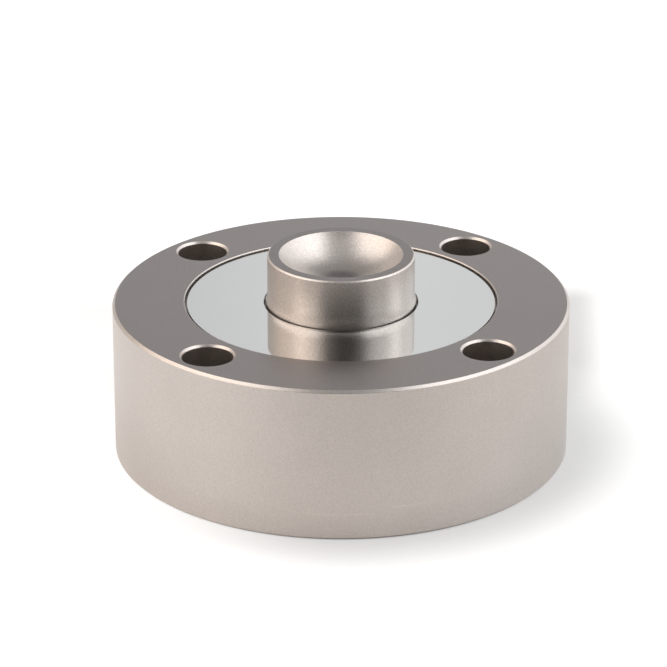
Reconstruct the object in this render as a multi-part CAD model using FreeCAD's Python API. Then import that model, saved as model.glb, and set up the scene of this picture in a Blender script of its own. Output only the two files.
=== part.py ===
import FreeCAD, Part
import math
import os

# Low-profile compression load cell, in millimetres.
# A turned and milled steel spring body carries the load from a ball cup, through a hub and four
# spokes, to a rim that is bolted down. Gauges in pockets on the spokes' sides measure the shear.
# Sheet covers close the gauge space, and a cable gland enters it through the rim.
# Origin: centre of the mounting face. +Z: up through the ball cup. +Y: out through the gland.

V = FreeCAD.Vector
ORIGIN = V(0, 0, 0)
X_AXIS = V(1, 0, 0)
Y_AXIS = V(0, 1, 0)
Z_AXIS = V(0, 0, 1)
OVERRUN = 1.0                   # how far a cutter runs past the face that it leaves
FLAT = 0.001                    # a length that counts as none

# Post and ball cup
post_diameter = 33.8
post_height = 11.1              # above the rim's top face
post_chamfer = 0.35
cup_lip = 2.65                  # flat ring between the cup and the post's side
cup_depth = 6.2
flare_width = 0.4               # the post widens by this towards the cover
flare_height = 2.6
flare_land = 0.6                # upright foot between the flare and the cover

# Spokes and rim
spoke_count = 4
spoke_width = 12.0
spoke_height = 20.0
window_corner = 3.0             # radius left by the end mill between a spoke and its neighbours
gallery_fillet = 1.5            # where a spoke runs into the hub and the rim
fillet_limit = 0.8              # of the wall that such a fillet runs out on
hub_ledge = 2.7                 # seat for the top cover's inner edge
cover_ledge = 1.7               # seat for the top cover's outer edge
rim_chamfer = 0.6
recess_chamfer = 0.18

# Mounting holes
bolt_count = 4
bolt_hole_diameter = 11.5       # clears an M10 bolt
bolt_hole_chamfer = 0.5
hole_inner_wall = 2.5           # from the cover's recess to the hole
hole_outer_wall = 2.55          # from the hole to the body's side

# Covers and their gaskets
cover_sink = 0.5                # how far a cover lies below the face round it
cover_thickness = 1.0
cover_edge_gap = 0.55
cover_bore_gap = 0.45
cover_edge_break = 0.06
gasket_thickness = 0.3
gasket_inset = 0.15             # from the edges of the seat and of the cover
hub_relief = 1.2                # free travel under the hub
lower_gallery = 6.2             # from the bottom cover's seat to the spokes

# Shear gauges, each in a round pocket with its solder terminal
gauge_length = 4.8
gauge_height = 4.4
gauge_backing = 0.08
grid_width = 1.3
grid_thickness = 0.04
gauge_web = 7.0                 # what is left of the spoke between two pockets
pocket_clearance = 0.25
pocket_margin = 1.25            # from the pocket to the hub and to the rim
terminal_length = 3.6
terminal_height = 1.6
terminal_base = 0.15
terminal_gap = 0.4
tab_size = 1.2
tab_thickness = 0.08

# Gauge leads, in pairs
lead_diameter = 0.7
lead_pitch = 2.0
lead_bend = 1.2                 # radius at the lead's centre
lead_standoff = 0.85            # between the spoke's side and the lead
lead_hole_gap = 0.15
solder_radius = 0.95
solder_height = 0.6

# Bridge board, on a step in the rim
board_thickness = 1.6
board_gap = 2.0                 # between the spokes and the board
board_edge_gap = 0.3
board_hub_gap = 1.5
cable_pad_count = 4
cable_pad_length = 3.0
cable_pad_width = 1.6
cable_pad_pitch = 2.6
cable_pad_thickness = 0.08

# Board screws, M2
screw_diameter = 2.0
screw_length = 6.0
screw_head_diameter = 3.5
screw_head_height = 1.5
screw_slot = 0.5
screw_tip = 0.3                 # chamfer at the screw's end
screw_fit = 0.05
screw_head_gap = 0.2            # from the head to the step's wall
screw_wall = 0.25               # from the screw's hole to the window
head_room = 1.1                 # from the screw heads to the cover's seat

# Chip resistors that trim the bridge
chip_length = 3.2
chip_width = 1.6
chip_height = 0.6
chip_cap = 0.5
chip_cap_proud = 0.05
chip_spread = 8.0               # degrees to each side of the middle of a window

# Cable gland, from the cable outwards
cable_diameter = 5.2
seal_wall = 1.3
seal_length = 7.3
claw_wall = 0.75
claw_overhang = 0.6             # past the seal
claw_slot = 1.0
claw_count = 6
claw_root = 3.0                 # unslotted part of the claw
gland_wall = 1.25
gland_fit = 0.05
gland_engagement = 9.0          # length of thread in the rim
gland_flange = 5.0
gland_floor = 1.0               # from the flange to the bottom of the seal's seat
gland_chamfer = 0.6
gland_washer_thickness = 1.5
gland_washer_width = 2.0
nut_wall = 1.45
nut_gap = 0.5                   # between the flange and the nut
nut_end_gap = 0.3               # between the thread's end and the nut's inner shoulder
nut_mouth_gap = 0.9             # round the cable
nut_hex_length = 6.5
nut_throat = 1.5                # length of the nut's mouth
port_runout = 2.5               # thread in the rim past the gland's end
port_passage_gap = 0.9          # round the cable, between the thread and the window
spotface_margin = 1.3           # round the gland's corners
spotface_bite = 0.25            # below the body's side at the spotface's edge

# Radii that follow, from the axis outwards
post_radius = post_diameter / 2
cup_opening = post_radius - cup_lip
spigot_radius = post_radius + flare_width
hub_radius = spigot_radius + hub_ledge
stack_height = gauge_height + terminal_gap + terminal_height
pocket_diameter = math.hypot(gauge_length, stack_height) + 2 * pocket_clearance
spoke_length = pocket_diameter + 2 * pocket_margin
window_radius = hub_radius + spoke_length
screw_hole_radius = screw_diameter / 2 + screw_fit
screw_circle = window_radius + screw_wall + screw_hole_radius
step_radius = screw_circle + screw_head_diameter / 2 + screw_head_gap
recess_radius = step_radius + cover_ledge
bolt_circle = recess_radius + hole_inner_wall + bolt_hole_diameter / 2
body_radius = bolt_circle + bolt_hole_diameter / 2 + hole_outer_wall
cover_radius = recess_radius - cover_edge_gap
cover_bore = spigot_radius + cover_bore_gap
gauge_circle = hub_radius + spoke_length / 2

# Heights that follow, from the mounting face up
bottom_ledge = cover_sink + cover_thickness + gasket_thickness
hub_bottom = bottom_ledge + hub_relief
spoke_bottom = bottom_ledge + lower_gallery
spoke_middle = spoke_bottom + spoke_height / 2
spoke_top = spoke_bottom + spoke_height
board_bottom = spoke_top + board_gap
board_top = board_bottom + board_thickness
top_ledge = board_top + screw_head_height + head_room
cover_bottom = top_ledge + gasket_thickness
cover_top = cover_bottom + cover_thickness
body_height = cover_top + cover_sink
post_top = body_height + post_height

# Gland sizes that follow
seal_radius = cable_diameter / 2 + seal_wall
claw_bore = seal_radius + gland_fit
claw_radius = claw_bore + claw_wall
seat_radius = claw_radius + gland_fit
thread_radius = seat_radius + gland_wall
nut_bore = thread_radius + gland_fit
hex_flat = nut_bore + nut_wall              # from the axis to a flat
hex_corner = hex_flat / math.cos(math.pi / 6)
spotface_radius = hex_corner + spotface_margin
spotface_y = math.sqrt(body_radius ** 2 - spotface_radius ** 2) - spotface_bite
flange_end = gland_washer_thickness + gland_flange
seat_floor = flange_end + gland_floor
claw_end = seat_floor + seal_length + claw_overhang
thread_end = seat_floor + seal_length - nut_end_gap

spoke_azimuths = [360 / spoke_count * (i + 0.5) for i in range(spoke_count)]
bolt_azimuths = [360 / bolt_count * (i + 0.5) for i in range(bolt_count)]
window_azimuths = [360 / spoke_count * i for i in range(spoke_count)]
sides = {"left": 1, "right": -1}


def profile(steps):
    """A closed face in the XZ plane: each step is a corner (r, z), or (middle, end) for an arc."""
    here = V(steps[0][0], 0, steps[0][1])
    edges = []
    for step in steps[1:] + steps[:1]:
        if isinstance(step[0], tuple):
            middle, end = [V(r, 0, z) for r, z in step]
            edges.append(Part.Arc(here, middle, end).toShape())
        else:
            end = V(step[0], 0, step[1])
            edges.append(Part.LineSegment(here, end).toShape())
        here = end
    return Part.Face(Part.Wire(edges))


def turned(steps):
    """The solid that a profile sweeps when it turns once round the Z axis."""
    return profile(steps).revolve(ORIGIN, Z_AXIS, 360)


def arc_step(centre, radius, start, end):
    """The (middle, end) step of an arc about centre, between two angles in degrees."""
    points = []
    for angle in (math.radians((start + end) / 2), math.radians(end)):
        points.append((centre[0] + radius * math.cos(angle), centre[1] + radius * math.sin(angle)))
    return tuple(points)


def ring(inner, outer, bottom, top):
    """A plain ring round the Z axis."""
    return turned([(inner, bottom), (outer, bottom), (outer, top), (inner, top)])


def block(x_middle, y_low, z_middle, length, depth, height):
    """A box centred on x and z that stands on y_low."""
    return Part.makeBox(length, depth, height, V(x_middle - length / 2, y_low, z_middle - height / 2))


def turn(shape, azimuth):
    """A copy of the shape, turned about the Z axis."""
    placed = shape.copy()
    placed.rotate(ORIGIN, Z_AXIS, azimuth)
    return placed


def on_spoke(shape, azimuth, side):
    """Takes a shape from the +Y side of a spoke along +X to one side of the spoke at azimuth."""
    return turn(shape if side > 0 else shape.mirror(ORIGIN, Y_AXIS), azimuth)


def at_port(shape):
    """Takes a shape from round the Z axis to round the gland's axis, from the spotface outwards."""
    placed = shape.copy()
    placed.rotate(ORIGIN, X_AXIS, -90)
    placed.translate(V(0, spotface_y, spoke_middle))
    return placed


def cup_arc():
    """The step from the cup's edge to its deepest point: part of a sphere about a point on the axis."""
    radius = (cup_opening ** 2 + cup_depth ** 2) / (2 * cup_depth)
    centre = (0, post_top - cup_depth + radius)
    edge = math.degrees(math.atan2(post_top - centre[1], cup_opening))
    return arc_step(centre, radius, edge, -90)


def flare_arc():
    """The step from the spigot up to the post's side: an arc that ends upright on the post."""
    radius = (flare_height ** 2 + flare_width ** 2) / (2 * flare_width)
    centre = (post_radius + radius, cover_top + flare_land + flare_height)
    foot = math.degrees(math.asin(flare_height / radius))
    return arc_step(centre, radius, 180 + foot, 180)


def body_blank():
    """The body as it leaves the lathe, with a gallery above and below the web."""
    fillet = min(gallery_fillet, fillet_limit * min(board_gap, spoke_length / 2))
    inner = hub_radius + fillet
    outer = window_radius - fillet
    return turned([
        (0, hub_bottom),
        (hub_radius, hub_bottom),
        (hub_radius, spoke_bottom - fillet),
        arc_step((inner, spoke_bottom - fillet), fillet, 180, 90),
        (outer, spoke_bottom),
        arc_step((outer, spoke_bottom - fillet), fillet, 90, 0),
        (window_radius, bottom_ledge),
        (recess_radius, bottom_ledge),
        (recess_radius, recess_chamfer),
        (recess_radius + recess_chamfer, 0),
        (body_radius - rim_chamfer, 0),
        (body_radius, rim_chamfer),
        (body_radius, body_height - rim_chamfer),
        (body_radius - rim_chamfer, body_height),
        (recess_radius + recess_chamfer, body_height),
        (recess_radius, body_height - recess_chamfer),
        (recess_radius, top_ledge),
        (step_radius, top_ledge),
        (step_radius, board_bottom),
        (window_radius, board_bottom),
        (window_radius, spoke_top + fillet),
        arc_step((outer, spoke_top + fillet), fillet, 0, -90),
        (inner, spoke_top),
        arc_step((inner, spoke_top + fillet), fillet, -90, -180),
        (hub_radius, top_ledge),
        (spigot_radius, top_ledge),
        (spigot_radius, cover_top + flare_land),
        flare_arc(),
        (post_radius, post_top - post_chamfer),
        (post_radius - post_chamfer, post_top),
        (cup_opening, post_top),
        cup_arc(),
    ])


def is_upright(edge):
    start, end = [vertex.Point for vertex in edge.Vertexes]
    return math.hypot(end.x - start.x, end.y - start.y) < FLAT


def windows():
    """Cutters for the openings between the spokes, with the mill's radius in their corners."""
    cutter = turn(ring(hub_radius, window_radius, bottom_ledge, board_bottom), spoke_azimuths[0])
    for azimuth in spoke_azimuths:
        spoke = block(body_radius / 2, -spoke_width / 2, spoke_middle, body_radius, spoke_width, body_height)
        cutter = cutter.cut(turn(spoke, azimuth))
    rounded = []
    for solid in cutter.Solids:
        upright = [edge for edge in solid.Edges if is_upright(edge)]
        rounded.append(solid.makeFillet(window_corner, upright))
    return rounded


def gauge_pockets():
    """Round cutters, square to the sides of each spoke, that leave the thin gauged web."""
    length = (spoke_width - gauge_web) / 2 + window_corner
    floor = V(gauge_circle, gauge_web / 2, spoke_middle)
    cutter = Part.makeCylinder(pocket_diameter / 2, length, floor, Y_AXIS)
    return [on_spoke(cutter, azimuth, side) for azimuth in spoke_azimuths for side in sides.values()]


def bolt_hole():
    """Cutter for a through hole with a chamfer at the top face."""
    radius = bolt_hole_diameter / 2
    wide = radius + bolt_hole_chamfer + OVERRUN
    cutter = turned([
        (0, -OVERRUN),
        (radius, -OVERRUN),
        (radius, body_height - bolt_hole_chamfer),
        (wide, body_height + OVERRUN),
        (0, body_height + OVERRUN),
    ])
    cutter.translate(V(bolt_circle, 0, 0))
    return cutter


def gland_port():
    """Cutters for the spotface, the gland's thread and the cable's way into the window."""
    bottom = -gland_engagement - port_runout
    inside = window_radius - OVERRUN - spotface_y
    passage = cable_diameter / 2 + port_passage_gap
    thread = thread_radius + gland_fit
    return [
        at_port(Part.makeCylinder(spotface_radius, spotface_bite + spotface_radius)),
        at_port(Part.makeCylinder(thread, OVERRUN - bottom, V(0, 0, bottom))),
        at_port(Part.makeCylinder(passage, bottom - inside, V(0, 0, inside))),
    ]


def board_screw_hole():
    """Cutter for the tapped hole of a board screw."""
    bottom = board_top - screw_length - OVERRUN
    return Part.makeCylinder(screw_hole_radius, board_top - bottom, V(screw_circle, 0, bottom))


def spring_body():
    cutters = windows() + gauge_pockets() + gland_port()
    cutters += [turn(bolt_hole(), azimuth) for azimuth in bolt_azimuths]
    cutters += [turn(board_screw_hole(), azimuth) for azimuth in spoke_azimuths]
    body = body_blank()
    for cutter in cutters:
        body = body.cut(cutter)
    return body


def top_cover():
    """Polished ring of sheet, round the post."""
    slope = cover_edge_break
    return turned([
        (cover_bore, cover_bottom),
        (cover_radius, cover_bottom),
        (cover_radius, cover_top - slope),
        (cover_radius - slope, cover_top),
        (cover_bore + slope, cover_top),
        (cover_bore, cover_top - slope),
    ])


def bottom_cover():
    """Disc of sheet that closes the mounting side."""
    slope = cover_edge_break
    return turned([
        (0, cover_sink),
        (cover_radius - slope, cover_sink),
        (cover_radius, cover_sink + slope),
        (cover_radius, cover_sink + cover_thickness),
        (0, cover_sink + cover_thickness),
    ])


def top_outer_gasket():
    return ring(step_radius + gasket_inset, cover_radius - gasket_inset, top_ledge, cover_bottom)


def top_inner_gasket():
    return ring(cover_bore + gasket_inset, hub_radius - gasket_inset, top_ledge, cover_bottom)


def bottom_gasket():
    return ring(window_radius + gasket_inset, cover_radius - gasket_inset,
                bottom_ledge - gasket_thickness, bottom_ledge)


def strain_gauge():
    """Shear gauge: a backing film with two foil grids that slope 45 degrees, either way."""
    middle = spoke_middle + (gauge_height - stack_height) / 2
    floor = gauge_web / 2
    gauge = block(gauge_circle, floor, middle, gauge_length, gauge_backing, gauge_height)
    long_side = gauge_height - 2 * grid_width
    for side in sides.values():
        x_middle = gauge_circle + side * gauge_length / 4
        grid = block(x_middle, floor, middle, grid_width, gauge_backing + grid_thickness, long_side)
        grid.rotate(V(x_middle, 0, middle), Y_AXIS, side * 45)
        gauge = gauge.fuse(grid)
    return gauge.removeSplitter()


def solder_terminal():
    """Two copper tabs on a strip of film, above the gauge."""
    middle = spoke_middle + (stack_height - terminal_height) / 2
    floor = gauge_web / 2
    terminal = block(gauge_circle, floor, middle, terminal_length, terminal_base, terminal_height)
    for side in sides.values():
        x_middle = gauge_circle + side * lead_pitch / 2
        tab = block(x_middle, floor, middle, tab_size, terminal_base + tab_thickness, tab_size)
        terminal = terminal.fuse(tab)
    return terminal.removeSplitter()


def lead_places():
    """The x of a pair's two leads on a spoke along +X, and the y that they rise at."""
    y = spoke_width / 2 + lead_standoff + lead_diameter / 2
    return [(gauge_circle + side * lead_pitch / 2, y) for side in sides.values()]


def lead_pair():
    """Two leads, from the solder tabs out of the pocket, up through the board and soldered on it."""
    start = gauge_web / 2 + terminal_base + tab_thickness
    height = spoke_middle + (stack_height - terminal_height) / 2
    half_bend = lead_bend * (1 - math.sqrt(0.5))
    leads = []
    for x, y in lead_places():
        bend = V(x, y - lead_bend, height)
        rise = V(x, y, height + lead_bend)
        middle = V(x, y - half_bend, height + half_bend)
        top = V(x, y, board_top + solder_height)
        path = Part.Wire([
            Part.LineSegment(V(x, start, height), bend).toShape(),
            Part.Arc(bend, middle, rise).toShape(),
            Part.LineSegment(rise, top).toShape(),
        ])
        section = Part.Wire(Part.makeCircle(lead_diameter / 2, V(x, start, height), Y_AXIS))
        lead = path.makePipeShell([section], True, False)
        joint = Part.makeCone(solder_radius, lead_diameter / 2, solder_height, V(x, y, board_top))
        leads.append(lead.fuse(joint).removeSplitter())
    return Part.makeCompound(leads)


def bridge_board():
    """Ring of circuit board on the rim's step, with holes for the gauge leads and the screws."""
    board = ring(hub_radius + board_hub_gap, step_radius - board_edge_gap, board_bottom, board_top)
    for azimuth in spoke_azimuths:
        hole = Part.makeCylinder(screw_hole_radius, board_thickness, V(screw_circle, 0, board_bottom))
        board = board.cut(turn(hole, azimuth))
        for x, y in lead_places():
            foot = V(x, y, board_bottom)
            hole = Part.makeCylinder(lead_diameter / 2 + lead_hole_gap, board_thickness, foot)
            for side in sides.values():
                board = board.cut(on_spoke(hole, azimuth, side))
    return board


def board_screw():
    """Slotted cheese-head screw."""
    radius = screw_diameter / 2
    low = board_top - screw_length
    screw = turned([
        (0, low),
        (radius - screw_tip, low),
        (radius, low + screw_tip),
        (radius, board_top),
        (screw_head_diameter / 2, board_top),
        (screw_head_diameter / 2, board_top + screw_head_height),
        (0, board_top + screw_head_height),
    ])
    slot = block(0, -screw_head_diameter, board_top + screw_head_height, screw_slot,
                 2 * screw_head_diameter, screw_head_height)
    screw = screw.cut(slot)
    screw.translate(V(screw_circle, 0, 0))
    return screw


def cable_pads():
    """Copper pads on the board, in a row above the gland, for the cable's cores."""
    pads = []
    y_middle = (hub_radius + board_hub_gap + step_radius - board_edge_gap) / 2
    for i in range(cable_pad_count):
        x_middle = (i - (cable_pad_count - 1) / 2) * cable_pad_pitch
        pads.append(block(x_middle, y_middle - cable_pad_length / 2, board_top + cable_pad_thickness / 2,
                          cable_pad_width, cable_pad_length, cable_pad_thickness))
    return Part.makeCompound(pads)


def chip_resistor():
    """Ceramic chip with two end caps, across the board's middle line on +X."""
    x_middle = (hub_radius + board_hub_gap + step_radius - board_edge_gap) / 2
    proud = chip_cap_proud
    chip = block(x_middle, -chip_length / 2, board_top + proud + chip_height / 2,
                 chip_width, chip_length, chip_height)
    for low in (-chip_length / 2 - proud, chip_length / 2 + proud - chip_cap):
        cap = block(x_middle, low, board_top + proud + chip_height / 2,
                    chip_width + 2 * proud, chip_cap, chip_height + 2 * proud)
        chip = chip.fuse(cap)
    return chip.removeSplitter()


def hexagon(bottom, top):
    """Hexagonal prism with the corners of its outer face turned off."""
    corners = []
    for i in range(7):
        angle = math.radians(60 * i)
        corners.append(V(hex_corner * math.cos(angle), hex_corner * math.sin(angle), bottom))
    prism = Part.Face(Part.makePolygon(corners)).extrude(V(0, 0, top - bottom))
    slope = (hex_corner - hex_flat) * math.tan(math.pi / 6)
    return prism.common(turned([
        (0, bottom),
        (hex_corner, bottom),
        (hex_corner, top - slope),
        (hex_flat, top),
        (0, top),
    ]))


def gland_washer():
    bore = thread_radius + gland_fit
    return ring(bore, bore + gland_washer_width, 0, gland_washer_thickness)


def gland_body():
    """Threaded both ends, with a hexagon between and a seat for the seal and its claw."""
    passage = cable_diameter / 2 + port_passage_gap / 2
    slope = gland_chamfer
    barrel = turned([
        (passage, -gland_engagement),
        (thread_radius - slope, -gland_engagement),
        (thread_radius, slope - gland_engagement),
        (thread_radius, thread_end - slope),
        (thread_radius - slope, thread_end),
        (seat_radius, thread_end),
        (seat_radius, seat_floor),
        (passage, seat_floor),
    ])
    flange = hexagon(gland_washer_thickness, flange_end)
    flange = flange.cut(Part.makeCylinder(thread_radius - slope / 2, flange_end))
    return barrel.fuse(flange).removeSplitter()


def gland_seal():
    return ring(cable_diameter / 2, seal_radius, seat_floor, seat_floor + seal_length)


def gland_claw():
    """Sleeve with fingers that the nut closes on the seal."""
    slope = claw_wall / 2
    claw = turned([
        (claw_bore, seat_floor),
        (claw_radius, seat_floor),
        (claw_radius, claw_end - slope),
        (claw_radius - slope, claw_end),
        (claw_bore, claw_end),
    ])
    length = claw_end - seat_floor - claw_root
    for i in range(claw_count):
        slot = block(claw_radius / 2, -claw_slot / 2, seat_floor + claw_root + length / 2 + OVERRUN / 2,
                     claw_radius + OVERRUN, claw_slot, length + OVERRUN)
        slot.translate(V(OVERRUN / 2, 0, 0))
        claw = claw.cut(turn(slot, 360 / claw_count * i))
    return claw


def gland_nut():
    """Domed nut, with a cone inside that closes the claw."""
    bottom = flange_end + nut_gap
    mouth = cable_diameter / 2 + nut_mouth_gap
    shoulder = thread_end + nut_end_gap
    cone = claw_end - claw_wall / 2 + gland_fit
    cone_end = cone + seat_radius - mouth
    end = cone_end + nut_throat
    dome_start = bottom + nut_hex_length
    dome = hex_flat - mouth - gland_chamfer
    skirt = turned([
        (0, dome_start - OVERRUN),
        (hex_flat - gland_chamfer / 2, dome_start - OVERRUN),
        (hex_flat - gland_chamfer / 2, dome_start),
        ((mouth + gland_chamfer + dome * math.cos(math.pi / 4),
          dome_start + (end - dome_start) * math.sin(math.pi / 4)), (mouth + gland_chamfer, end)),
        (0, end),
    ])
    hollow = turned([
        (0, bottom - OVERRUN),
        (nut_bore, bottom - OVERRUN),
        (nut_bore, shoulder),
        (seat_radius + gland_fit, shoulder),
        (seat_radius + gland_fit, cone),
        (mouth, cone_end),
        (mouth, end + OVERRUN),
        (0, end + OVERRUN),
    ])
    return hexagon(bottom, dome_start).fuse(skirt).removeSplitter().cut(hollow)


def parts():
    """Every piece, by the name of its node."""
    made = {
        "spring_body": spring_body(),
        "top_cover": top_cover(),
        "top_outer_gasket": top_outer_gasket(),
        "top_inner_gasket": top_inner_gasket(),
        "bottom_cover": bottom_cover(),
        "bottom_gasket": bottom_gasket(),
        "bridge_board": bridge_board(),
        "cable_pads": cable_pads(),
        "gland_washer": at_port(gland_washer()),
        "gland_body": at_port(gland_body()),
        "gland_seal": at_port(gland_seal()),
        "gland_claw": at_port(gland_claw()),
        "gland_nut": at_port(gland_nut()),
    }
    gauge, terminal, leads, screw = strain_gauge(), solder_terminal(), lead_pair(), board_screw()
    for number, azimuth in enumerate(spoke_azimuths, 1):
        made[f"board_screw_{number}"] = turn(screw, azimuth)
        for name, side in sides.items():
            made[f"strain_gauge_{number}_{name}"] = on_spoke(gauge, azimuth, side)
            made[f"solder_terminal_{number}_{name}"] = on_spoke(terminal, azimuth, side)
            made[f"lead_pair_{number}_{name}"] = on_spoke(leads, azimuth, side)
    chip = chip_resistor()
    for job, azimuth in zip(("zero", "output", "span"), window_azimuths[:1] + window_azimuths[2:]):
        for name, side in sides.items():
            made[f"{job}_resistor_{name}"] = turn(chip, azimuth + side * chip_spread)
    return made


os.makedirs("parts", exist_ok=True)
for node, shape in parts().items():
    shape.exportStep(f"parts/{node}.step")
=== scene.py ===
import math

import bpy
import numpy as np
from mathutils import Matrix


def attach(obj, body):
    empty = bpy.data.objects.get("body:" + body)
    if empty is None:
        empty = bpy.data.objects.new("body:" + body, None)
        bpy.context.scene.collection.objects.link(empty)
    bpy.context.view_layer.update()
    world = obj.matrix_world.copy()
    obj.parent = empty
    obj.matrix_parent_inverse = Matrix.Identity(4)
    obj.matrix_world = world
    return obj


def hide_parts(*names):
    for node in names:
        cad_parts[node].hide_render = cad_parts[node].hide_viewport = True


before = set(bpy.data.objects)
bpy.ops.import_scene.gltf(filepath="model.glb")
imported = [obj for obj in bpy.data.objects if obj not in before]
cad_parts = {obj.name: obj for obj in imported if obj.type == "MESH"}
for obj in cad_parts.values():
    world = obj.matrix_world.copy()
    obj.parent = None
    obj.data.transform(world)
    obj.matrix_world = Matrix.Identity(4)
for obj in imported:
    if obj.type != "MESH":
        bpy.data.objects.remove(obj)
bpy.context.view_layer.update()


# Spring body
# The part that feels the load: one steel blank, turned to a rim, a thin web and a hub with its post,
# then milled, satin finished and nickel plated. Its sizes are in millimetres, as on a drawing.
MM = 0.001
body_radius, body_height, rim_chamfer = 52.5, 36.0, 0.6
recess_radius, recess_chamfer = 35.95, 0.18
step_radius, window_radius, hub_radius, spigot_radius = 34.25, 31.0, 20.0, 17.3
top_ledge, board_seat, bottom_ledge, hub_bottom = 34.2, 30.0, 1.8, 3.0
web_bottom, web_top, gallery_fillet = 8.0, 28.0, 1.5
cover_top = 35.5
post_radius, post_top, post_chamfer = 16.9, 47.1, 0.35
flare_height, flare_land = 2.6, 0.6
cup_opening, cup_depth = 14.25, 6.2
bolt_circle, bolt_hole_radius, bolt_chamfer = 44.2, 5.75, 0.5
spoke_width, window_corner, gauge_web, gauge_circle, pocket_radius = 12.0, 3.0, 7.0, 25.5, 4.25
port_height, spotface_y, spotface_radius, thread_radius, passage_radius = 18.0, 51.297, 9.96, 6.05, 3.5
port_depth = 39.8
edge_round, hub_break = 0.12, 0.3       # what polishing leaves on a turned edge, and on the hub's foot
fine_steps, coarse_steps, pocket_steps = 288, 96, 64    # segments of a full turn
flare_steps, cup_steps, window_steps, corner_steps = 10, 28, 12, 8      # segments of an arc
grain_size, grain_depth = 0.42, 0.03    # a blasted grain is finer, but this is the finest that shows
spoke_turns, window_turns = (45, 135, 225, 315), (0, 90, 180, 270)


def rounded(corners, steps=4):
    """The outline through (r, z, radius) corners. A corner with a radius becomes an arc that is
    tangent to both of its sides: it starts radius / tan(half the angle) from the corner, and its
    centre lies radius / sin(half the angle) along the line that halves the angle. Between the arc's
    ends, seen from its centre, a point is (first sin((1 - t) turn) + last sin(t turn)) / sin(turn)."""
    points = []
    spots = [np.array(c[:2], float) for c in corners]
    for i, (spot, corner) in enumerate(zip(spots, corners)):
        radius = corner[2] if len(corner) > 2 else 0
        if not radius:
            points.append(spot)
            continue
        back = spots[i - 1] - spot
        ahead = spots[(i + 1) % len(spots)] - spot
        back, ahead = back / np.linalg.norm(back), ahead / np.linalg.norm(ahead)
        half = math.acos(np.clip(back @ ahead, -1, 1)) / 2
        middle = (back + ahead) / np.linalg.norm(back + ahead)
        centre = spot + middle * radius / math.sin(half)
        first = spot + back * radius / math.tan(half) - centre
        last = spot + ahead * radius / math.tan(half) - centre
        turn = math.pi - 2 * half
        for t in np.linspace(0, 1, steps + 1):
            between = first * math.sin((1 - t) * turn) + last * math.sin(t * turn)
            points.append(centre + between / math.sin(turn))
    return np.array(points)


def arc(centre, radius, start, end, steps):
    """Corners along a circle about centre, from one angle in degrees to another, ends included."""
    angles = np.radians(np.linspace(start, end, steps + 1))
    return [(centre[0] + radius * math.cos(a), centre[1] + radius * math.sin(a)) for a in angles]


def turned(outline, segments, closed=True):
    """The surface that an (r, z) outline sweeps round the Z axis: point j of the outline at turn i is
    (r cos a, r sin a, z) with a = 2 pi i / segments. A closed outline joins its last point to its
    first. An open one starts and ends on the axis, where each pole is one point with a fan."""
    angles = 2 * np.pi * np.arange(segments) / segments
    inner = outline if closed else outline[1:-1]
    count = len(inner)
    r, z = inner[:, 0], inner[:, 1]
    points = np.stack([np.outer(np.cos(angles), r), np.outer(np.sin(angles), r),
                       np.tile(z, (segments, 1))], -1).reshape(-1, 3)
    i, j = np.meshgrid(np.arange(segments), np.arange(count if closed else count - 1), indexing="ij")
    here, beside = i * count, (i + 1) % segments * count
    up = (j + 1) % count
    faces = np.stack([here + j, beside + j, beside + up, here + up], -1).reshape(-1, 4).tolist()
    if not closed:
        low, high = len(points), len(points) + 1
        points = np.vstack([points, [[0, 0, outline[0, 1]], [0, 0, outline[-1, 1]]]])
        ring, after = i[:, 0] * count, (i[:, 0] + 1) % segments * count
        faces += np.stack([np.full(segments, low), after, ring], -1).tolist()
        faces += np.stack([np.full(segments, high), ring + count - 1, after + count - 1], -1).tolist()
    return points, faces


def together(surfaces):
    """Several (points, faces) surfaces as one."""
    points, faces = [], []
    for some, theirs in surfaces:
        start = sum(len(p) for p in points)
        points.append(some)
        faces += [[k + start for k in face] for face in theirs]
    return np.vstack(points), faces


def about_z(surface, azimuth, shift=(0, 0, 0)):
    """A surface moved by shift, then turned about the Z axis by azimuth degrees."""
    a = math.radians(azimuth)
    matrix = np.array([[math.cos(a), -math.sin(a), 0], [math.sin(a), math.cos(a), 0], [0, 0, 1]])
    return (surface[0] + np.array(shift, float)) @ matrix.T, surface[1]


def along_y(surface, place):
    """A surface made round the Z axis, laid over so that its axis points along +Y from place."""
    points = surface[0][:, [0, 2, 1]] * (-1, 1, 1) + np.array(place, float)
    return points, surface[1]


def piece(name, surface):
    """An object whose mesh holds a surface, in metres, with its faces shaded smooth."""
    mesh = bpy.data.meshes.new(name)
    mesh.from_pydata((surface[0] * MM).tolist(), [], surface[1])
    mesh.shade_smooth()
    made = bpy.data.objects.new(name, mesh)
    bpy.context.scene.collection.objects.link(made)
    return made


def bake(made, sharp=35):
    """Applies the piece's modifiers, keeps edges over the sharp angle and levels flat faces' normals."""
    graph = bpy.context.evaluated_depsgraph_get()
    mesh = bpy.data.meshes.new_from_object(made.evaluated_get(graph))
    mesh.shade_smooth()
    mesh.set_sharp_from_angle(angle=math.radians(sharp))
    made.modifiers.clear()
    made.data = mesh
    level = made.modifiers.new("level", "WEIGHTED_NORMAL")
    level.keep_sharp = True
    level.weight = 100
    graph = bpy.context.evaluated_depsgraph_get()
    made.data = bpy.data.meshes.new_from_object(made.evaluated_get(graph))
    made.modifiers.clear()
    return made


def cut(made, *surfaces, operation="DIFFERENCE"):
    """Takes each surface's solid out of a piece, or keeps only what lies inside it (INTERSECT)."""
    for surface in surfaces:
        cutter = piece("cutter", surface)
        step = made.modifiers.new("cut", "BOOLEAN")
        step.operation = operation
        step.solver = "MANIFOLD"
        step.object = cutter
        bpy.context.view_layer.update()
        graph = bpy.context.evaluated_depsgraph_get()
        made.data = bpy.data.meshes.new_from_object(made.evaluated_get(graph))
        made.modifiers.clear()
        bpy.data.objects.remove(cutter)
    return made


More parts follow.
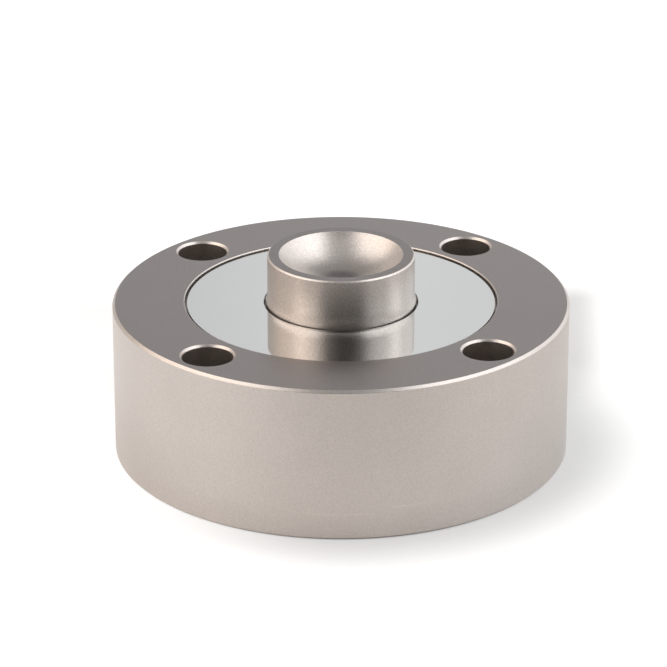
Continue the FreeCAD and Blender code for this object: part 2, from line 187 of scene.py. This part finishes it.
cup_radius = (cup_opening ** 2 + cup_depth ** 2) / (2 * cup_depth)
cup_centre = (0, post_top - cup_depth + cup_radius)
cup_edge = -math.degrees(math.acos(cup_opening / cup_radius))
flare_radius = (flare_height ** 2 + (spigot_radius - post_radius) ** 2) / (2 * (spigot_radius - post_radius))
flare_foot = math.degrees(math.asin(flare_height / flare_radius))
body_outline = rounded([
    (0, hub_bottom),
    (hub_radius, hub_bottom, hub_break),
    (hub_radius, web_bottom, gallery_fillet),
    (window_radius, web_bottom, gallery_fillet),
    (window_radius, bottom_ledge),
    (recess_radius, bottom_ledge),
    (recess_radius, recess_chamfer, edge_round / 2),
    (recess_radius + recess_chamfer, 0, edge_round / 2),
    (body_radius - rim_chamfer, 0, edge_round),
    (body_radius, rim_chamfer, edge_round),
    (body_radius, body_height - rim_chamfer, edge_round),
    (body_radius - rim_chamfer, body_height, edge_round),
    (recess_radius + recess_chamfer, body_height, edge_round / 2),
    (recess_radius, body_height - recess_chamfer, edge_round / 2),
    (recess_radius, top_ledge),
    (step_radius, top_ledge),
    (step_radius, board_seat),
    (window_radius, board_seat),
    (window_radius, web_top, gallery_fillet),
    (hub_radius, web_top, gallery_fillet),
    (hub_radius, top_ledge),
    (spigot_radius, top_ledge),
    *arc((post_radius + flare_radius, cover_top + flare_land + flare_height), flare_radius,
         180 + flare_foot, 180, flare_steps),
    (post_radius, post_top - post_chamfer, edge_round),
    (post_radius - post_chamfer, post_top, edge_round),
    (cup_opening, post_top, edge_round),
    *arc(cup_centre, cup_radius, cup_edge, -90, cup_steps)[1:],
])

hole_overrun, hole_flare = 2.0, 0.3     # mm by which the hole's cutter stands out below and above the body
bolt_cutter = turned(rounded([
    (0, -hole_overrun),
    (bolt_hole_radius, -hole_overrun),
    (bolt_hole_radius, body_height - bolt_chamfer, edge_round),
    (bolt_hole_radius + bolt_chamfer, body_height, edge_round),
    (bolt_hole_radius + bolt_chamfer + hole_overrun, body_height + hole_flare),
    (0, body_height + hole_flare),
]), coarse_steps, closed=False)


window_skin = 0.02                      # mm that a window keeps clear of the gallery's walls
window_below, window_above = 1.0, 0.3   # mm by which its cutter passes the web's fillets
pocket_reach = 9.0                      # mm from a spoke's middle to the outer end of a pocket's cutter
port_inside, port_outside = 3.0, 5.0    # mm by which the port's cutter passes the rim's walls


def window_plan():
    """Outline of a window between two spokes, seen from above: the rim's arc, a round corner, the
    spoke's side, a round corner, the hub's arc, and the same mirrored. A corner's centre lies its
    radius inside the arc and inside the spoke's side, at 45 degrees less asin(offset / distance)."""
    offset = spoke_width / 2 + window_corner
    far, near = window_radius - window_skin, hub_radius + window_skin
    centres = []
    for distance in (far - window_corner, near + window_corner):
        slope = 45 - math.degrees(math.asin(offset / distance))
        centres.append((slope, arc((0, 0), distance, slope, slope, 0)[0]))
    (far_slope, far_centre), (near_slope, near_centre) = centres
    upper = arc((0, 0), far, 0, far_slope, window_steps)
    upper += arc(far_centre, window_corner, far_slope, 135, corner_steps)[1:]
    upper += arc(near_centre, window_corner, 135, 180 + near_slope, corner_steps)
    upper += arc((0, 0), near, near_slope, 0, window_steps)[1:]
    upper = np.array(upper)
    return np.vstack([upper, upper[-2:0:-1] * (1, -1)])


def upright(plan, low, high):
    """The prism over a plan: each edge of the outline carried straight up, and two flat ends."""
    ring = np.arange(len(plan))
    after, count = np.roll(ring, -1), len(plan)
    points = np.vstack([np.column_stack([plan, np.full(count, z)]) for z in (low, high)])
    faces = np.stack([ring, after, after + count, ring + count], -1).tolist()
    return points, faces + [ring[::-1].tolist(), (ring + count).tolist()]


window = upright(window_plan(), web_bottom - gallery_fillet - window_below,
                 web_top + gallery_fillet + window_above)
windows = [about_z(window, azimuth) for azimuth in window_turns]
pocket = turned(np.array([
    (0, gauge_web / 2), (pocket_radius, gauge_web / 2), (pocket_radius, pocket_reach), (0, pocket_reach)]),
    pocket_steps, closed=False)
pocket = along_y(pocket, (gauge_circle, 0, port_height))
other_pocket = (pocket[0] * (1, -1, 1), [face[::-1] for face in pocket[1]])
pockets = [about_z(side, azimuth) for azimuth in spoke_turns for side in (pocket, other_pocket)]
port = along_y(turned(np.array([
    (0, window_radius - port_inside), (passage_radius, window_radius - port_inside),
    (passage_radius, port_depth), (thread_radius, port_depth), (thread_radius, spotface_y),
    (spotface_radius, spotface_y), (spotface_radius, body_radius + port_outside),
    (0, body_radius + port_outside)]), coarse_steps, closed=False),
    (0, 0, port_height))

body = piece("turned_spring_body", turned(body_outline, fine_steps, closed=False))
bolt_cutters = [about_z(bolt_cutter, azimuth, (bolt_circle, 0, 0)) for azimuth in spoke_turns]
cut(body, together(windows + bolt_cutters), together(pockets + [port]))
bake(body)


def linear(colour):
    """The linear colour of an sRGB hex value: c / 12.92 when dark, else ((c + 0.055) / 1.055) ^ 2.4."""
    values = [int(colour[k:k + 2], 16) / 255 for k in (1, 3, 5)]
    return tuple(c / 12.92 if c <= 0.04045 else ((c + 0.055) / 1.055) ** 2.4 for c in values) + (1.0,)


def add_node(tree, kind, settings=None, links=None):
    """Adds a node, gives its properties and sockets their settings and links its other sockets."""
    node = tree.nodes.new(kind)
    for name, value in (settings or {}).items():
        if isinstance(name, int) or name in node.inputs:
            node.inputs[name].default_value = value
        else:
            setattr(node, name, value)
    for name, source in (links or {}).items():
        tree.links.new(source, node.inputs[name])
    return node


def new_material(name, **constants):
    """A material with one shader, whose sockets get the constants, and its object coordinates."""
    material = bpy.data.materials.new(name)
    material.use_nodes = True
    tree = material.node_tree
    tree.nodes.clear()
    shader = add_node(tree, "ShaderNodeBsdfPrincipled",
                      {socket.replace("_", " "): value for socket, value in constants.items()})
    add_node(tree, "ShaderNodeOutputMaterial", links={"Surface": shader.outputs[0]})
    place = add_node(tree, "ShaderNodeTexCoord").outputs["Object"]
    return material, tree, shader, place


def noise(tree, place, grain_mm, detail=2.0):
    """The value of a noise whose spots are about grain_mm across."""
    return add_node(tree, "ShaderNodeTexNoise", {"Scale": 1 / (grain_mm * MM), "Detail": detail},
                    {"Vector": place}).outputs["Fac"]


def blend(tree, amount, first, second):
    """A colour between two hex colours, by the amount socket."""
    return add_node(tree, "ShaderNodeMix", {"data_type": "RGBA", 6: linear(first), 7: linear(second)},
                    {0: amount}).outputs[2]


def spread(tree, amount, low, high):
    """A number from low to high, by the amount socket."""
    return add_node(tree, "ShaderNodeMapRange", {"To Min": low, "To Max": high}, {"Value": amount}).outputs[0]


def relief(tree, height, depth_mm, strength=None):
    """The normal of a surface whose bumps are about depth_mm high, fainter where strength is under 1."""
    links = {"Height": height} if strength is None else {"Height": height, "Strength": strength}
    return add_node(tree, "ShaderNodeBump", {"Distance": depth_mm * MM}, links).outputs[0]


def fade(tree, value, start, end, low=0.0, high=1.0):
    """A smooth step of a socket's value, from low at start to high at end."""
    return add_node(tree, "ShaderNodeMapRange",
                    {"interpolation_type": "SMOOTHSTEP", "From Min": start, "From Max": end,
                     "To Min": low, "To Max": high}, {"Value": value}).outputs[0]


def total(tree, operation, *sockets):
    """Sockets put together by one operation, such as ADD, one after another."""
    result = sockets[0]
    for socket in sockets[1:]:
        result = add_node(tree, "ShaderNodeMath", {"operation": operation}, {0: result, 1: socket}).outputs[0]
    return result


def flattened(tree, place):
    """A place or a direction without its Z."""
    return add_node(tree, "ShaderNodeVectorMath", {"operation": "MULTIPLY", 1: (1, 1, 0)}, {0: place}).outputs[0]


def unit(tree, place):
    """The direction of a place from the origin."""
    return add_node(tree, "ShaderNodeVectorMath", {"operation": "NORMALIZE"}, {0: place}).outputs[0]


def how_far(tree, place, along=None):
    """How far a place lies along a direction or, without one, from the origin."""
    settings = {"operation": "LENGTH"} if along is None else {"operation": "DOT_PRODUCT", 1: along}
    return add_node(tree, "ShaderNodeVectorMath", settings, {0: place}).outputs["Value"]


def coordinates(tree, place):
    """The X, Y and Z sockets of a place or a direction."""
    return add_node(tree, "ShaderNodeSeparateXYZ", links={0: place}).outputs


def scaled(tree, vector, factor):
    """A vector or a colour times a number's socket."""
    return add_node(tree, "ShaderNodeVectorMath", {"operation": "SCALE"}, {0: vector, "Scale": factor}).outputs[0]


cloud_size, speck_size = 14, 0.8 * grain_size           # mm across
speck_range = (0.35, 0.65)              # where most of a noise's values lie
dark_speck, pale_speck = (0.9, 0.94), (1.1, 1.05)       # their brightness, each at the post and at the rim
rim_relief = 0.6                        # share of the grain's depth that is left at the rim
level_range = (0.97, 0.99)              # upward part of the normal at which a face counts as flat and takes the painted shade
foot_low, foot_high, foot_shade = 4.0, 8.0, 0.97        # mm up the side, where the painted shade at the foot ends
foot_lines = ((6.0, 6.4, -12, 6), (7.3, 7.7, 6, 19))     # each: low, high, left and right end, mm
foot_line_gain = 0.06                         # how much brighter a line is
foot_line_blur, foot_line_taper, foot_line_front = 0.2, 4, 30     # mm: its soft edges, its ends and where it is whole, in front


def satin_nickel():
    """Nickel plate over blasted steel: warm grey and satin, with faint clouds and a fine grain that is
    strongest on the post. The flat, upward faces carry a painted shade, a shade darker and greyer, most
    of all on the post's top ring. Near the foot of the side a painted shade darkens the plate a little,
    and two thin brighter lines run on the front half, each of which tapers at its ends."""
    material, tree, shader, place = new_material("satin_nickel_plate", Metallic=1.0)
    cloud = noise(tree, place, cloud_size, 3.0)
    reach = how_far(tree, flattened(tree, place))
    post, rim = post_radius * MM, recess_radius * MM
    speck = add_node(tree, "ShaderNodeMapRange", {"From Min": speck_range[0], "From Max": speck_range[1]},
                     {"Value": noise(tree, place, speck_size, 1.0),
                      "To Min": fade(tree, reach, post, rim, *dark_speck),
                      "To Max": fade(tree, reach, post, rim, *pale_speck)}).outputs[0]
    colour = scaled(tree, blend(tree, cloud, "#CAC3BE", "#D4CDC8"), speck)
    # painted shade: faces that point up are made darker and greyer, most of all on the post's top ring
    facing = coordinates(tree, add_node(tree, "ShaderNodeNewGeometry").outputs["Normal"])["Z"]
    painted_flat_shade = add_node(tree, "ShaderNodeMapRange", {"From Min": level_range[0], "From Max": level_range[1]},
                      {"Value": facing}).outputs[0]
    flat_shade_tone = blend(tree, fade(tree, reach, post, rim), "#CAC9CC", "#D9D8DB")
    colour = add_node(tree, "ShaderNodeMix", {"data_type": "RGBA", "blend_type": "MULTIPLY"},
                      {0: painted_flat_shade, 6: colour, 7: flat_shade_tone}).outputs[2]
    x, y, z = coordinates(tree, place)
    # painted shade: the side is made darker towards its foot
    foot = fade(tree, z, foot_low * MM, foot_high * MM, foot_shade, 1)
    # two thin brighter lines near the foot, whole on the front half and tapering at their ends
    for low, high, left, right in foot_lines:
        mark = total(tree, "MULTIPLY", fade(tree, z, low * MM, (low + foot_line_blur) * MM),
                     fade(tree, z, high * MM, (high + foot_line_blur) * MM, 1, 0),
                     fade(tree, x, left * MM, (left + foot_line_taper) * MM, 0, foot_line_gain),
                     fade(tree, x, (right - foot_line_taper) * MM, right * MM, 1, 0),
                     fade(tree, y, -foot_line_front * MM, 0, 1, 0))
        foot = total(tree, "ADD", foot, mark)
    tree.links.new(scaled(tree, colour, foot), shader.inputs["Base Color"])
    tree.links.new(spread(tree, cloud, 0.32, 0.37), shader.inputs["Roughness"])
    grain = relief(tree, noise(tree, place, grain_size, 1.0), grain_depth,
                   fade(tree, reach, post, rim, 1, rim_relief))
    tree.links.new(grain, shader.inputs["Normal"])
    return material


def finish_piece(made, slot, material, *nodes):
    """Dresses a piece, stands it in for its CAD nodes and fixes it to the one rigid body."""
    made.data.materials.clear()
    made.data.materials.append(material)
    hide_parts(*nodes)
    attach(made, "root")


finish_piece(body, "nickel_plated_steel", satin_nickel(), "spring_body")


# Covers
# Thin sheet discs that close the gauge space: a ring round the post above, a full disc below. Both are
# stamped from stainless sheet, polished to a mirror and bonded on their gaskets.
cover_radius, cover_bore, cover_bottom, cover_edge = 35.4, 17.75, 34.5, 0.06
lower_cover_low, lower_cover_high = 0.5, 1.5


def mirror_stainless():
    """Polished stainless sheet: a neutral mirror with a very slight haze."""
    material, tree, shader, place = new_material("mirror_polished_stainless", Metallic=1.0)
    cloud = noise(tree, place, 20, 2.0)
    tree.links.new(blend(tree, cloud, "#DCDDDD", "#E2E3E3"), shader.inputs["Base Color"])
    tree.links.new(spread(tree, cloud, 0.03, 0.06), shader.inputs["Roughness"])
    return material


polish = mirror_stainless()
top_cover = piece("polished_top_cover", turned(rounded([
    (cover_bore, cover_bottom, cover_edge), (cover_radius, cover_bottom, cover_edge),
    (cover_radius, cover_top, cover_edge), (cover_bore, cover_top, cover_edge)]), fine_steps))
bake(top_cover)
finish_piece(top_cover, "polished_stainless", polish, "top_cover")
bottom_cover = piece("polished_bottom_cover", turned(rounded([
    (0, lower_cover_low), (cover_radius, lower_cover_low, cover_edge),
    (cover_radius, lower_cover_high, cover_edge), (0, lower_cover_high)]), fine_steps, closed=False))
bake(bottom_cover)
finish_piece(bottom_cover, "polished_stainless", polish, "bottom_cover")


# Gaskets
# Flat rings under the covers and the gland, punched from black rubber sheet. The covers are bonded on
# theirs, and the gland's is squeezed against the rim.
def rubber(name, colour, tint):
    """Rubber: nearly black, dull, with a fine bloom."""
    material, tree, shader, place = new_material(name)
    cloud = noise(tree, place, 1.5)
    tree.links.new(blend(tree, cloud, colour, tint), shader.inputs["Base Color"])
    tree.links.new(spread(tree, cloud, 0.55, 0.7), shader.inputs["Roughness"])
    tree.links.new(relief(tree, noise(tree, place, 0.2), 0.01), shader.inputs["Normal"])
    return material


def dress(material, *nodes):
    """Gives a material to CAD nodes that show as they are."""
    for node in nodes:
        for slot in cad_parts[node].material_slots:
            slot.material = material


sheet_rubber = rubber("black_sheet_rubber", "#1B1B1C", "#242425")
dress(sheet_rubber, "top_outer_gasket", "top_inner_gasket", "bottom_gasket", "gland_washer")


# Gauges, terminals and leads
# Each spoke carries a foil gauge and a soldered terminal in the pocket on each of its sides. Pairs of
# insulated wires bring them up through the board. All of it lies inside the sealed body.
def grained(name, first, second, grain_mm, low, high, metallic=0.0):
    """A plain finish: two close colours in spots of a grain size, and a little change of gloss."""
    material, tree, shader, place = new_material(name, Metallic=metallic)
    spots = noise(tree, place, grain_mm, 3.0)
    tree.links.new(blend(tree, spots, first, second), shader.inputs["Base Color"])
    tree.links.new(spread(tree, spots, low, high), shader.inputs["Roughness"])
    return material


def nodes_named(start):
    """The names of the CAD nodes that begin with a word."""
    return sorted(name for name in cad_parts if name.startswith(start))


dress(grained("amber_gauge_film", "#A87A34", "#B98B45", 0.4, 0.25, 0.35), *nodes_named("strain_gauge"))
tinned = grained("tinned_copper", "#C9B9A5", "#D8CCBC", 0.3, 0.25, 0.4, 1.0)
dress(tinned, "cable_pads", *nodes_named("solder_terminal"))
dress(grained("red_lead_insulation", "#9E2A22", "#AD3A30", 0.5, 0.35, 0.45), *nodes_named("lead_pair"))


# Bridge board
# A ring of green circuit board on a step in the rim, held by four small screws, with the chip
# resistors that trim the bridge and the pads for the cable's cores.
dress(grained("green_solder_mask", "#1E5A38", "#266641", 0.6, 0.3, 0.4), "bridge_board")
dress(grained("zinc_plated_screw", "#B9BABC", "#C9CACC", 0.5, 0.25, 0.35, 1.0), *nodes_named("board_screw"))
dress(grained("glazed_chip", "#26262A", "#34343A", 0.3, 0.25, 0.4), *nodes_named("zero_resistor"),
      *nodes_named("output_resistor"), *nodes_named("span_resistor"))


# Cable gland
# A small cable gland in the rim's port, at the back: a turned body with a hexagon, a rubber seal in a
# nylon claw, and a domed nut that closes the claw on the cable. Body and nut are nickel-plated brass.
gland_seat = (0, spotface_y, port_height)       # distances along the gland count outwards from here
thread, cable_passage, seal_seat, seal_floor = 6.0, 3.05, 4.75, 7.5
thread_start, thread_end, thread_slope = -9.0, 14.5, 0.6
hex_flat, hex_corner, hex_edge = 7.5, 8.66, 0.25
flange_start, flange_end = 1.5, 6.5
nut_start, nut_hex_end, nut_end = 7.0, 13.5, 17.825
nut_thread, nut_shoulder, nut_seat, nut_cone, nut_mouth, nut_lip = 6.05, 14.8, 4.8, 15.075, 3.5, 0.6
nut_dome, nut_relief = 7.2, 0.05
gland_round, gland_clear = 0.15, 1.0    # mm: the edges' radius, and what the hexagon's cutter stands out by
hex_slope = (hex_corner - hex_flat) * math.tan(math.pi / 6)
hex_prism = upright(rounded([(*arc((0, 0), hex_corner, 60 * k, 60 * k, 0)[0], hex_edge) for k in range(6)]),
                    thread_start - gland_clear, nut_end + gland_clear)


def gland_part(name, outline, slot, node):
    """A turned ring with the gland's hexagon milled on it, laid along the port."""
    made = piece(name, along_y(turned(outline, coarse_steps), gland_seat))
    cut(made, along_y(hex_prism, gland_seat), operation="INTERSECT")
    bake(made, sharp=28)
    finish_piece(made, slot, plate, node)


plate = grained("bright_nickel_on_brass", "#CFC8BC", "#DAD4CA", 2.0, 0.16, 0.24, 1.0)
gland_part("turned_gland_body", rounded([
    (cable_passage, thread_start, gland_round), (thread - thread_slope, thread_start),
    (thread, thread_start + thread_slope), (thread, flange_start), (hex_corner, flange_start),
    (hex_corner, flange_end - hex_slope, gland_round), (hex_flat, flange_end, gland_round),
    (thread, flange_end), (thread, thread_end - thread_slope), (thread - thread_slope, thread_end),
    (seal_seat, thread_end), (seal_seat, seal_floor), (cable_passage, seal_floor)]),
    "nickel_plated_brass", "gland_body")
gland_part("domed_gland_nut", rounded([
    (nut_thread, nut_start), (hex_corner, nut_start), (hex_corner, nut_hex_end - hex_slope, gland_round),
    (hex_flat, nut_hex_end, gland_round / 2),
    *[(nut_mouth + nut_lip + (nut_dome - nut_mouth - nut_lip) * math.cos(t),
       nut_hex_end + (nut_end - nut_hex_end) * math.sin(t)) for t in np.linspace(0, math.pi / 2, 12)],
    (nut_mouth, nut_end, gland_round), (nut_mouth, nut_cone + nut_seat - nut_mouth - nut_relief),
    (nut_seat, nut_cone), (nut_seat, nut_shoulder), (nut_thread, nut_shoulder)]),
    "nickel_plated_brass", "gland_nut")
dress(rubber("seal_rubber", "#1F1E1D", "#2A2928"), "gland_seal")
dress(grained("moulded_nylon", "#C9C5B8", "#D3CFC3", 0.8, 0.4, 0.5), "gland_claw")


# Studio
# A white table under a pale tent. The tent is bright on both sides, dimmer behind and overhead, and
# dark in front, where the photographer stands.
view_azimuth, view_elevation, view_distance = -2.815, 23.042, 869.8
aim = np.array((-1.721, 0.085, 27.33))
focal_pixels, frame_pixels, sensor = 3770.0, 667, 36.0


def towards(azimuth, elevation, distance):
    """The point that far from the origin: azimuth 0 is in front (-Y) and 90 on the right (+X)."""
    a, e = math.radians(azimuth), math.radians(elevation)
    return distance * np.array((math.sin(a) * math.cos(e), -math.cos(a) * math.cos(e), math.sin(e)))


camera_data = bpy.data.cameras.new("camera")
camera_data.sensor_width = sensor
camera_data.lens = sensor * focal_pixels / frame_pixels
camera = bpy.data.objects.new("camera", camera_data)
camera.location = (aim + towards(view_azimuth, view_elevation, view_distance)) * MM
camera.rotation_euler = (math.radians(90 - view_elevation), 0, math.radians(view_azimuth))
bpy.context.scene.collection.objects.link(camera)
bpy.context.scene.camera = camera

# The table is white card, and glows so that it comes out pure white, but for a soft shade close round
# the object and a narrow one along the object's right side, towards the back. Metal sees the card a
# little brighter on the left, on the right and close to the object.
table_half = 4000
open_glow, left_boost, shaded_glow = 0.75, 0.37, 0.41
shade_reach = 29                        # mm from the object to where the card is white again
dark_opening, white_opening = 0.6, 0.95     # share of open sky at which it is darkest and white again
aside_shade, aside_azimuth, aside_reach = 0.37, 84, (54, 65)       # the shade on the right, mm rightwards
aside_start, aside_end = (12, 48), (82, 98)     # mm behind the middle, where it grows in and fades out
metal_left, metal_right, metal_near = 0.26, 0.12, 0.08      # how much brighter metal sees it
metal_reach = (60, 120)                 # mm from the middle, over which the last of these fades

floor = piece("white_table", (np.array([(-1, -1, 0), (1, -1, 0), (1, 1, 0), (-1, 1, 0)], float) * table_half,
                              [[0, 1, 2, 3]]))
paper, tree, shader, place = new_material("white_card", Roughness=1.0)
shader.inputs["Specular IOR Level"].default_value = 0.0
shader.inputs["Emission Color"].default_value = linear("#FFFFFF")
ray = add_node(tree, "ShaderNodeLightPath").outputs
tree.links.new(blend(tree, ray["Is Camera Ray"], "#E9E9E9", "#ADADAD"), shader.inputs["Base Color"])
rightward, backward = coordinates(tree, unit(tree, place))["X"], coordinates(tree, place)["Y"]
opening = add_node(tree, "ShaderNodeAmbientOcclusion", {"Distance": shade_reach * MM}).outputs["AO"]
aside = how_far(tree, place, towards(aside_azimuth, 0, 1))
aside = total(tree, "MULTIPLY",
              fade(tree, aside, aside_reach[0] * MM, aside_reach[1] * MM, -aside_shade, 0),
              fade(tree, backward, aside_start[0] * MM, aside_start[1] * MM),
              fade(tree, backward, aside_end[0] * MM, aside_end[1] * MM, 1, 0))
straight = total(tree, "ADD", fade(tree, opening, dark_opening, white_opening, shaded_glow, open_glow),
                 fade(tree, rightward, -1, 0, left_boost, 0), aside)
straight = total(tree, "MULTIPLY", straight, ray["Is Camera Ray"])
mirrored = total(tree, "ADD", fade(tree, rightward, -1, 0, metal_left, 0),
                 fade(tree, rightward, 0.2, 1, 0, metal_right),
                 fade(tree, how_far(tree, place), metal_reach[0] * MM, metal_reach[1] * MM, metal_near, 0))
metal_ray = total(tree, "ADD", ray["Is Glossy Ray"], ray["Is Transmission Ray"])
mirrored = total(tree, "MULTIPLY", mirrored, metal_ray)
tree.links.new(total(tree, "ADD", mirrored, straight), shader.inputs["Emission Strength"])
floor.data.materials.append(paper)

# The tent round the table is lit in panels. Each has the azimuth of its middle, half its width, its
# lower and upper edge, all in degrees, and its brightness, where 1 is white card.
tent_panels = (
    (-164, 18.5, -20, 28, 0.61), (161, 16, -20, 28, 0.74), (-130, 15, -20, 30, 0.7), (130, 15, -20, 30, 1.25),
    (-90, 25, -20, 12, 1.2), (-90, 25, 12, 30, 0.95), (90, 25, -20, 30, 0.75),
    (-69, 9, 8, 34, 0.9), (93, 9, 8, 34, 1.15),
    (-50, 14, -20, 30, 1.1), (53, 13, -20, 30, 0.62), (-25, 12, -20, 30, 0.05),
    (-91, 52, 30, 50, 1.9), (91, 52, 30, 50, 1.6), (180, 37, 30, 50, 0.24),
    (-90, 45, 50, 70, 1.95), (90, 45, 50, 70, 2.2), (180, 45, 50, 70, 0.26), (0, 45, 50, 70, 0.25),
    (0, 180, 70, 90, 0.48),
)
side_blur, edge_blur = 6, 3             # degrees over which a panel fades, on each side of its edge
warm_side = (-0.9, -0.1)                # how far left the tent's light is warm, and where it is white again
world = bpy.data.worlds.new("tent")
bpy.context.scene.world = world
world.use_nodes = True
tree = world.node_tree
direction = add_node(tree, "ShaderNodeTexCoord").outputs["Generated"]
side, _, height = coordinates(tree, direction)
flat = unit(tree, flattened(tree, direction))
shares = []
for middle, half, low, high, level in tent_panels:
    turn = how_far(tree, flat, towards(middle, 0, 1))
    nearest, furthest = (math.cos(math.radians(half + blur)) for blur in (-side_blur, side_blur))
    if half == 180:             # it goes all the way round
        nearest, furthest = -1, -2
    rise = [math.sin(math.radians(low + blur)) for blur in (-edge_blur, edge_blur)]
    fall = [math.sin(math.radians(high + blur)) for blur in (edge_blur, -edge_blur)]
    if high == 90:              # it closes at the top
        fall = 3, 1
    shares.append(total(tree, "MULTIPLY", fade(tree, turn, furthest, nearest, 0, level),
                        fade(tree, height, *rise), fade(tree, height, *fall)))
path = add_node(tree, "ShaderNodeLightPath").outputs["Is Camera Ray"]
strength = total(tree, "MAXIMUM", total(tree, "ADD", *shares), path)
tree.links.new(strength, tree.nodes["Background"].inputs["Strength"])
tint = blend(tree, fade(tree, side, *warm_side), "#FFF0E3", "#FFFFFF")
tint = add_node(tree, "ShaderNodeMix", {"data_type": "RGBA", 7: linear("#FFFFFF")},
                {0: path, 6: tint}).outputs[2]
tree.links.new(tint, tree.nodes["Background"].inputs["Color"])

bpy.context.scene.view_settings.view_transform = "Standard"
